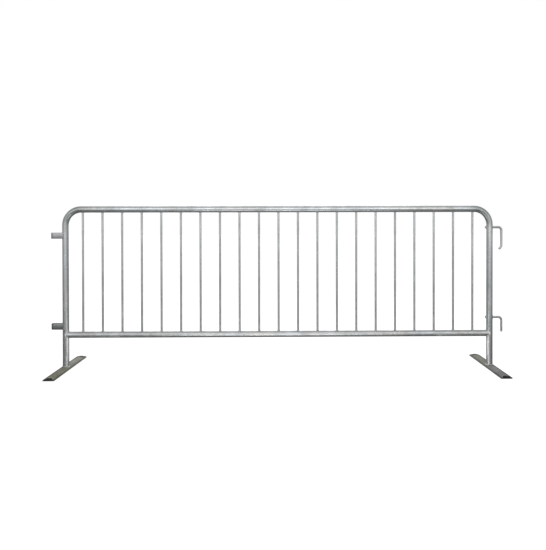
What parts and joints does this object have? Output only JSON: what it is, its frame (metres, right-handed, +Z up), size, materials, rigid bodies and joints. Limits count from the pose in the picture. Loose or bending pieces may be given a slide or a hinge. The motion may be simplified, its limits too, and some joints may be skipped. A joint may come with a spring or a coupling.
{
  "type": "crowd control barrier",
  "caption": "Free-standing steel barrier panel with upright bars, swivelling flat feet, and hooks and loops that link panels end to end.",
  "frame": {"origin": "on the floor below the middle of the panel", "axes": "+X along the panel towards the hooks, +Y towards the back, +Z up"},
  "size_m": [2.717, 0.65, 0.974],
  "materials": {
    "galvanised_steel": "hot-dip galvanised, satin with soft spangle",
    "dull_galvanised_steel": "hot-dip galvanised, weathered and slightly olive",
    "zinc_plated_steel": "bright zinc plate",
    "black_rubber": "matte moulded rubber"
  },
  "bodies": {
    "panel": {"frame_tube": "galvanised_steel", "bottom_rail": "galvanised_steel", "bar_01": "galvanised_steel", "bar_02": "galvanised_steel", "bar_03": "galvanised_steel", "bar_04": "galvanised_steel", "bar_05": "galvanised_steel", "bar_06": "galvanised_steel", "bar_07": "galvanised_steel", "bar_08": "galvanised_steel", "bar_09": "galvanised_steel", "bar_10": "galvanised_steel", "bar_11": "galvanised_steel", "bar_12": "galvanised_steel", "bar_13": "galvanised_steel", "bar_14": "galvanised_steel", "bar_15": "galvanised_steel", "bar_16": "galvanised_steel", "bar_17": "galvanised_steel", "bar_18": "galvanised_steel", "bar_19": "galvanised_steel", "bar_20": "galvanised_steel", "bar_21": "galvanised_steel", "upper_loop": "galvanised_steel", "lower_loop": "galvanised_steel", "upper_hook": "galvanised_steel", "lower_hook": "galvanised_steel", "left_lock_nut": "zinc_plated_steel", "right_lock_nut": "zinc_plated_steel", "left_lock_bolt": "zinc_plated_steel", "right_lock_bolt": "zinc_plated_steel"},
    "left_foot_assembly": {"left_leg": "galvanised_steel", "left_spigot": "galvanised_steel", "left_foot": "dull_galvanised_steel", "left_front_pad": "black_rubber", "left_back_pad": "black_rubber"},
    "right_foot_assembly": {"right_leg": "galvanised_steel", "right_spigot": "galvanised_steel", "right_foot": "dull_galvanised_steel", "right_front_pad": "black_rubber", "right_back_pad": "black_rubber"}
  },
  "joints": [
    {"name": "left_foot_swivel", "type": "hinge", "parent": "panel", "child": "left_foot_assembly", "pos_m": [-1.27645, 0, 0.1], "axis": [0, 0, 1], "range_deg": [-90, 90]},
    {"name": "right_foot_swivel", "type": "hinge", "parent": "panel", "child": "right_foot_assembly", "pos_m": [1.27645, 0, 0.1], "axis": [0, 0, 1], "range_deg": [-90, 90]}
  ]
}
